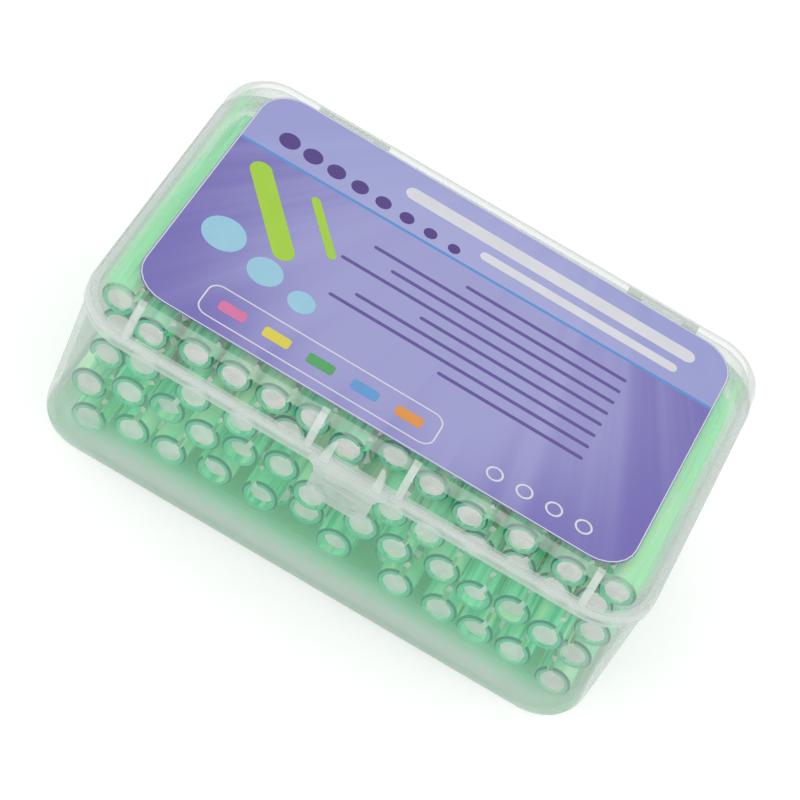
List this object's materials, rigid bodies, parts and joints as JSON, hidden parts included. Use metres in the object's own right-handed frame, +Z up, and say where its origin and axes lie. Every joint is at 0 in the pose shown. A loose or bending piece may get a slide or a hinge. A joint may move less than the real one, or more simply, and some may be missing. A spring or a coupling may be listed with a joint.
{
  "type": "boxed interdental brushes",
  "caption": "Hinged translucent storage case with a front snap latch, filled with push-out interdental brushes in slotted sleeves.",
  "frame": {"origin": "centre of the whole part's footprint, at the tray's underside", "axes": "+X to the right along the long side, seen from the latch; +Y to the back, towards the hinge; +Z up"},
  "size_m": [0.115, 0.0803, 0.0421],
  "materials": {
    "tray_plastic": "frosted translucent polypropylene, moulded",
    "lid_plastic": "clear natural polypropylene, lightly glossy",
    "label_film": "printed satin film",
    "sleeve_plastic": "translucent mint green polypropylene",
    "slider_plastic": "natural off-white plastic",
    "wire_steel": "twisted stainless wire",
    "bristle_nylon": "fine white nylon filaments"
  },
  "bodies": {
    "case": {"base_tray": "tray_plastic", "sleeve_1": "sleeve_plastic", "sleeve_2": "sleeve_plastic", "sleeve_3": "sleeve_plastic", "sleeve_4": "sleeve_plastic", "sleeve_5": "sleeve_plastic", "sleeve_6": "sleeve_plastic", "sleeve_7": "sleeve_plastic", "sleeve_8": "sleeve_plastic", "sleeve_9": "sleeve_plastic", "sleeve_10": "sleeve_plastic", "sleeve_11": "sleeve_plastic", "sleeve_12": "sleeve_plastic", "sleeve_13": "sleeve_plastic", "sleeves_lower": "sleeve_plastic", "sliders_lower": "slider_plastic", "wires_lower": "wire_steel", "bristles_lower": "bristle_nylon"},
    "lid": {"lid": "lid_plastic", "label": "label_film"},
    "latch": {"latch_tab": "lid_plastic"},
    "slider_1": {"slider_1": "slider_plastic", "wire_1": "wire_steel", "bristles_1": "bristle_nylon"},
    "slider_2": {"slider_2": "slider_plastic", "wire_2": "wire_steel", "bristles_2": "bristle_nylon"},
    "slider_3": {"slider_3": "slider_plastic", "wire_3": "wire_steel", "bristles_3": "bristle_nylon"},
    "slider_4": {"slider_4": "slider_plastic", "wire_4": "wire_steel", "bristles_4": "bristle_nylon"},
    "slider_5": {"slider_5": "slider_plastic", "wire_5": "wire_steel", "bristles_5": "bristle_nylon"},
    "slider_6": {"slider_6": "slider_plastic", "wire_6": "wire_steel", "bristles_6": "bristle_nylon"},
    "slider_7": {"slider_7": "slider_plastic", "wire_7": "wire_steel", "bristles_7": "bristle_nylon"},
    "slider_8": {"slider_8": "slider_plastic", "wire_8": "wire_steel", "bristles_8": "bristle_nylon"},
    "slider_9": {"slider_9": "slider_plastic", "wire_9": "wire_steel", "bristles_9": "bristle_nylon"},
    "slider_10": {"slider_10": "slider_plastic", "wire_10": "wire_steel", "bristles_10": "bristle_nylon"},
    "slider_11": {"slider_11": "slider_plastic", "wire_11": "wire_steel", "bristles_11": "bristle_nylon"},
    "slider_12": {"slider_12": "slider_plastic", "wire_12": "wire_steel", "bristles_12": "bristle_nylon"},
    "slider_13": {"slider_13": "slider_plastic", "wire_13": "wire_steel", "bristles_13": "bristle_nylon"}
  },
  "joints": [
    {"name": "lid_hinge", "type": "hinge", "parent": "case", "child": "lid", "pos_m": [0, 0.03815, 0.034], "axis": [-1, 0, 0], "range_deg": [0, 125]},
    {"name": "latch_flex", "type": "hinge", "parent": "lid", "child": "latch", "pos_m": [0, -0.04015, 0.03195], "axis": [-1, 0, 0], "range_deg": [0, 35], "stiffness_Nm_per_rad": 0.004},
    {"name": "slider_1_slide", "type": "slide", "parent": "case", "child": "slider_1", "axis": [0, 1, 0], "range_m": [0, 0.011]},
    {"name": "slider_2_slide", "type": "slide", "parent": "case", "child": "slider_2", "axis": [0, 1, 0], "range_m": [0, 0.011]},
    {"name": "slider_3_slide", "type": "slide", "parent": "case", "child": "slider_3", "axis": [0, 1, 0], "range_m": [0, 0.011]},
    {"name": "slider_4_slide", "type": "slide", "parent": "case", "child": "slider_4", "axis": [0, 1, 0], "range_m": [0, 0.011]},
    {"name": "slider_5_slide", "type": "slide", "parent": "case", "child": "slider_5", "axis": [0, 1, 0], "range_m": [0, 0.011]},
    {"name": "slider_6_slide", "type": "slide", "parent": "case", "child": "slider_6", "axis": [0, 1, 0], "range_m": [0, 0.011]},
    {"name": "slider_7_slide", "type": "slide", "parent": "case", "child": "slider_7", "axis": [0, 1, 0], "range_m": [0, 0.011]},
    {"name": "slider_8_slide", "type": "slide", "parent": "case", "child": "slider_8", "axis": [0, 1, 0], "range_m": [0, 0.011]},
    {"name": "slider_9_slide", "type": "slide", "parent": "case", "child": "slider_9", "axis": [0, 1, 0], "range_m": [0, 0.011]},
    {"name": "slider_10_slide", "type": "slide", "parent": "case", "child": "slider_10", "axis": [0, 1, 0], "range_m": [0, 0.011]},
    {"name": "slider_11_slide", "type": "slide", "parent": "case", "child": "slider_11", "axis": [0, 1, 0], "range_m": [0, 0.011]},
    {"name": "slider_12_slide", "type": "slide", "parent": "case", "child": "slider_12", "axis": [0, 1, 0], "range_m": [0, 0.011]},
    {"name": "slider_13_slide", "type": "slide", "parent": "case", "child": "slider_13", "axis": [0, 1, 0], "range_m": [0, 0.011]}
  ]
}
